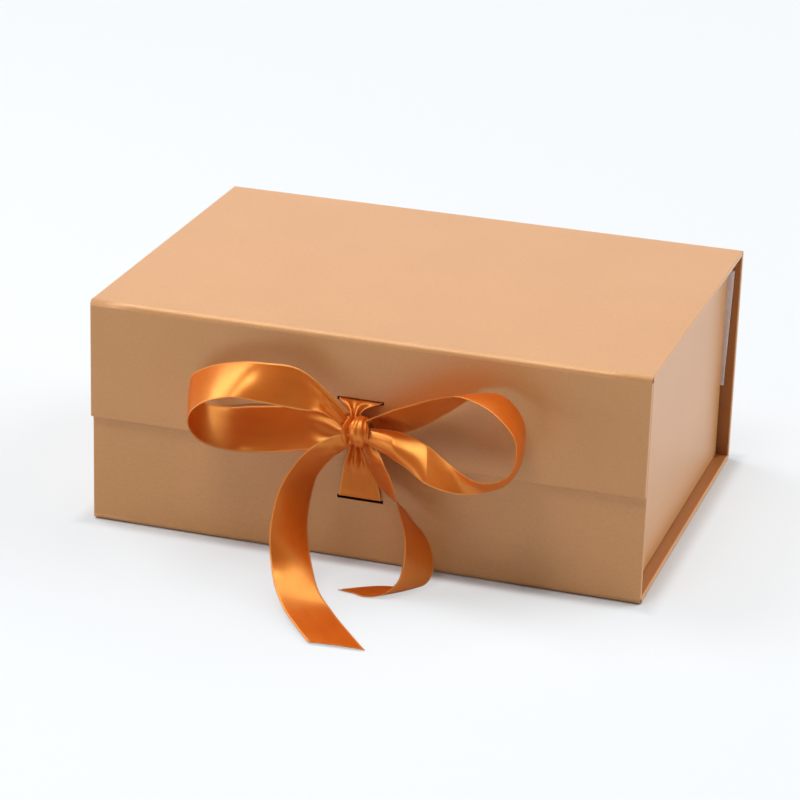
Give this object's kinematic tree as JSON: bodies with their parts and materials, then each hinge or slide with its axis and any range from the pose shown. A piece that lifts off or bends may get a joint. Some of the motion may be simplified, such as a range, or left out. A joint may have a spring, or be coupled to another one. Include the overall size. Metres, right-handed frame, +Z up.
{
  "type": "magnetic gift box",
  "caption": "Low oblong folding gift box in pearl paper, with a lid whose front flap closes by magnets and a satin ribbon tied through slots in a bow with loose tails.",
  "frame": {"origin": "centre of the underside of the base", "axes": "+X to the right along the length, seen from the front; +Y to the back; +Z up"},
  "size_m": [0.24, 0.2517, 0.1],
  "materials": {
    "greyboard": "solid greyboard, matt",
    "pearl_paper": "pearl",
    "lining_paper": "pearl",
    "tape": "clear adhesive",
    "liner": "coated white",
    "magnet": "nickel-plated",
    "keeper": "plain steel",
    "satin": "satin"
  },
  "bodies": {
    "tray": {"base_board": "greyboard", "base_wrap": "pearl_paper", "base_lining": "lining_paper", "back_board": "greyboard", "back_wrap": "pearl_paper", "back_lining": "lining_paper", "front_board": "greyboard", "front_wrap": "pearl_paper", "front_lining": "lining_paper", "floor_board": "greyboard", "floor_lining": "lining_paper", "front_fold_paper": "pearl_paper", "back_fold_paper": "pearl_paper", "keeper_plates": "keeper", "ribbon_lower_leg": "satin", "side_left_foot_paper": "pearl_paper", "side_right_foot_paper": "pearl_paper"},
    "lid": {"lid_board": "greyboard", "lid_wrap": "pearl_paper", "lid_lining": "lining_paper", "lid_hinge_paper": "pearl_paper"},
    "flap": {"flap_board": "greyboard", "flap_wrap": "pearl_paper", "flap_lining": "lining_paper", "flap_magnets": "magnet", "flap_hinge_paper": "pearl_paper", "ribbon_upper_leg": "satin", "ribbon_lower_end": "satin", "ribbon_knot": "satin", "ribbon_loop_left": "satin", "ribbon_loop_right": "satin", "ribbon_tail_left": "satin", "ribbon_tail_right": "satin"},
    "side_left": {"side_left_board": "greyboard", "side_left_wrap": "pearl_paper", "side_left_lining": "lining_paper"},
    "side_right": {"side_right_board": "greyboard", "side_right_wrap": "pearl_paper", "side_right_lining": "lining_paper"},
    "flange_front_left": {"flange_front_left_board": "greyboard", "flange_front_left_wrap": "pearl_paper", "flange_front_left_tape": "tape", "flange_front_left_liner": "liner", "flange_front_left_hinge_paper": "pearl_paper"},
    "flange_rear_left": {"flange_rear_left_board": "greyboard", "flange_rear_left_wrap": "pearl_paper", "flange_rear_left_tape": "tape", "flange_rear_left_liner": "liner", "flange_rear_left_hinge_paper": "pearl_paper"},
    "flange_front_right": {"flange_front_right_board": "greyboard", "flange_front_right_wrap": "pearl_paper", "flange_front_right_tape": "tape", "flange_front_right_liner": "liner", "flange_front_right_hinge_paper": "pearl_paper"},
    "flange_rear_right": {"flange_rear_right_board": "greyboard", "flange_rear_right_wrap": "pearl_paper", "flange_rear_right_tape": "tape", "flange_rear_right_liner": "liner", "flange_rear_right_hinge_paper": "pearl_paper"}
  },
  "joints": [
    {"name": "lid_hinge", "type": "hinge", "parent": "tray", "child": "lid", "pos_m": [0, 0.0845, 0.1], "axis": [-1, 0, 0], "range_deg": [0, 180], "deforming": ["lid_hinge_paper"]},
    {"name": "flap_hinge", "type": "hinge", "parent": "lid", "child": "flap", "pos_m": [0, -0.08725, 0.1], "axis": [-1, 0, 0], "range_deg": [0, 90], "deforming": ["flap_hinge_paper"]},
    {"name": "side_left_fold", "type": "hinge", "parent": "tray", "child": "side_left", "pos_m": [-0.11215, 0, 0.0068], "axis": [0, 1, 0], "range_deg": [0, 90], "deforming": ["side_left_foot_paper"]},
    {"name": "side_right_fold", "type": "hinge", "parent": "tray", "child": "side_right", "pos_m": [0.11215, 0, 0.0068], "axis": [0, -1, 0], "range_deg": [0, 90], "deforming": ["side_right_foot_paper"]},
    {"name": "flange_front_left_fold", "type": "hinge", "parent": "side_left", "child": "flange_front_left", "pos_m": [-0.11185, -0.0799, 0.05], "axis": [0, 0, 1], "range_deg": [0, 90], "deforming": ["flange_front_left_hinge_paper", "flange_front_left_liner"]},
    {"name": "flange_rear_left_fold", "type": "hinge", "parent": "side_left", "child": "flange_rear_left", "pos_m": [-0.11185, 0.0799, 0.05], "axis": [0, 0, -1], "range_deg": [0, 90], "deforming": ["flange_rear_left_hinge_paper", "flange_rear_left_liner"]},
    {"name": "flange_front_right_fold", "type": "hinge", "parent": "side_right", "child": "flange_front_right", "pos_m": [0.11185, -0.0799, 0.05], "axis": [0, 0, -1], "range_deg": [0, 90], "deforming": ["flange_front_right_hinge_paper", "flange_front_right_liner"]},
    {"name": "flange_rear_right_fold", "type": "hinge", "parent": "side_right", "child": "flange_rear_right", "pos_m": [0.11185, 0.0799, 0.05], "axis": [0, 0, 1], "range_deg": [0, 90], "deforming": ["flange_rear_right_hinge_paper", "flange_rear_right_liner"]}
  ],
  "couplings": [
    {"joint": "flange_front_left_fold", "follows": "side_left_fold", "ratio": 1},
    {"joint": "flange_rear_left_fold", "follows": "side_left_fold", "ratio": 1},
    {"joint": "flange_front_right_fold", "follows": "side_right_fold", "ratio": 1},
    {"joint": "flange_rear_right_fold", "follows": "side_right_fold", "ratio": 1}
  ]
}
